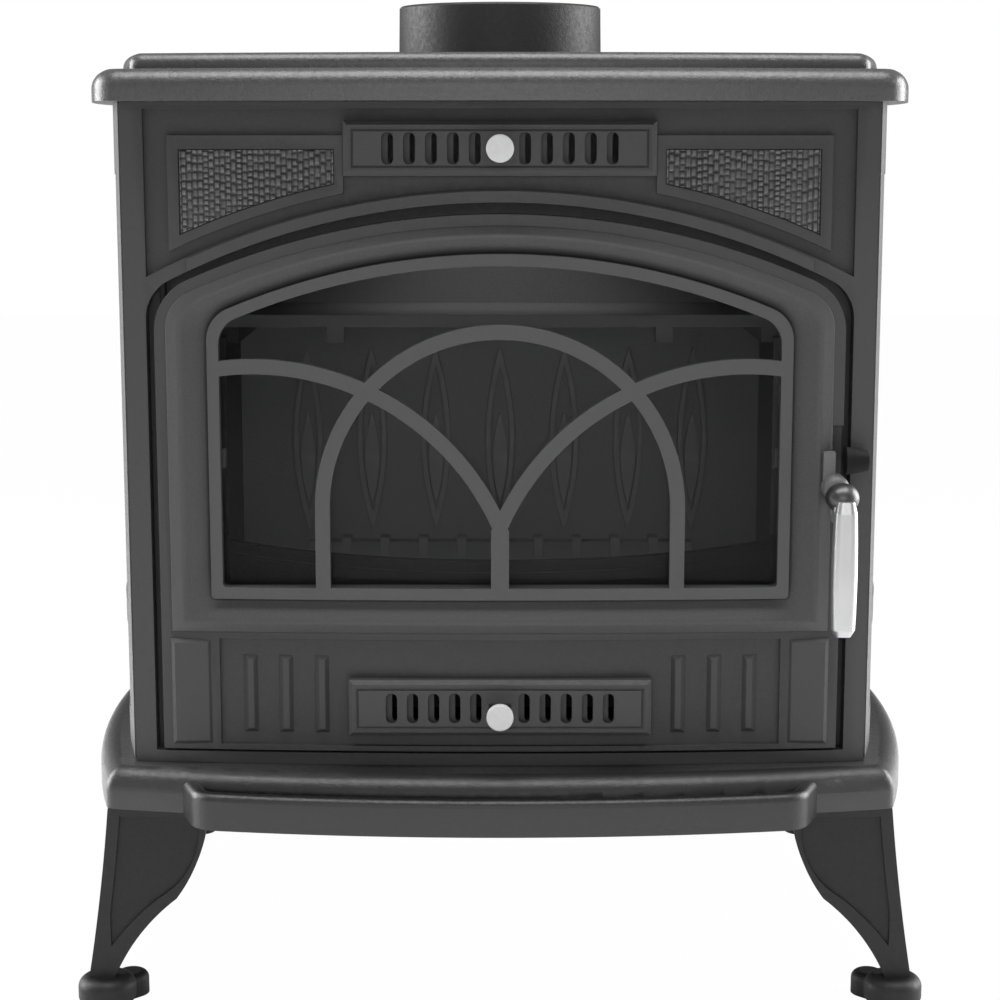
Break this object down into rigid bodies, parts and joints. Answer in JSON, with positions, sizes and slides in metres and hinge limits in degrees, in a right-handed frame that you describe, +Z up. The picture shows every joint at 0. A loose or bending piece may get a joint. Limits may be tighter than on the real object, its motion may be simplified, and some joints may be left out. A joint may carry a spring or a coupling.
{
  "type": "cast iron wood stove",
  "caption": "Free-standing cast iron wood stove on cabriole legs, with an arched glazed door under round tracery, a stepped top and a top flue collar.",
  "frame": {"origin": "on the floor under the middle of the overall width and depth", "axes": "+X to the viewer's right, +Y to the back, +Z up; the door faces -Y"},
  "size_m": [0.627, 0.505, 0.728],
  "materials": {
    "black_iron": "fine cast grain, matt heat paint",
    "lattice_iron": "satin heat paint",
    "fire_iron": "raw casting",
    "sheet_steel": "matt",
    "plain_steel": "plain",
    "dark_iron": "satin",
    "bright_metal": "satin nickel",
    "glass": "clear ceramic glass",
    "rope": "glass fibre rope"
  },
  "bodies": {
    "stove": {"base_plate": "black_iron", "ash_lip": "black_iron", "front_frame": "black_iron", "side_panel_left": "black_iron", "side_panel_right": "black_iron", "back_panel": "black_iron", "top_plate": "black_iron", "flue_collar": "black_iron", "collar_bolts": "plain_steel", "upper_vent_plate": "black_iron", "leg_front_left": "black_iron", "leg_front_right": "black_iron", "leg_rear_left": "black_iron", "leg_rear_right": "black_iron", "hinge_pin_lower": "dark_iron", "hinge_pin_upper": "dark_iron", "latch_keeper": "dark_iron", "back_liner": "fire_iron", "side_liner_left": "fire_iron", "side_liner_right": "fire_iron", "baffle": "fire_iron", "firebox_floor": "fire_iron", "grate": "fire_iron", "log_guard": "fire_iron", "ash_box_walls": "sheet_steel", "tie_rods": "plain_steel", "leg_bolts": "plain_steel"},
    "door": {"door_casting": "black_iron", "door_lattice": "lattice_iron", "door_glass": "glass", "glass_gasket": "rope", "glass_clips": "sheet_steel", "clip_screws": "plain_steel", "door_rope_seal": "rope", "lower_vent_plate": "black_iron"},
    "latch": {"latch_spindle": "plain_steel", "latch_hub": "dark_iron", "handle_grip": "bright_metal"},
    "upper_air": {"upper_air_slider": "sheet_steel", "upper_air_knob": "bright_metal"},
    "lower_air": {"lower_air_slider": "sheet_steel", "lower_air_knob": "bright_metal"},
    "ash_pan": {"ash_pan": "sheet_steel"}
  },
  "joints": [
    {"name": "door_hinge", "type": "hinge", "parent": "stove", "child": "door", "pos_m": [-0.237, -0.17127, 0.4], "axis": [0, 0, -1], "range_deg": [0, 95]},
    {"name": "latch_turn", "type": "hinge", "parent": "door", "child": "latch", "pos_m": [0.237, -0.17681, 0.382], "axis": [0, -1, 0], "range_deg": [0, 60]},
    {"name": "upper_air_slide", "type": "slide", "parent": "stove", "child": "upper_air", "axis": [1, 0, 0], "range_m": [-0.0037, 0.0037]},
    {"name": "lower_air_slide", "type": "slide", "parent": "door", "child": "lower_air", "axis": [1, 0, 0], "range_m": [-0.0037, 0.0037]},
    {"name": "ash_pan_slide", "type": "slide", "parent": "stove", "child": "ash_pan", "axis": [0, -1, 0], "range_m": [0, 0.014]}
  ]
}
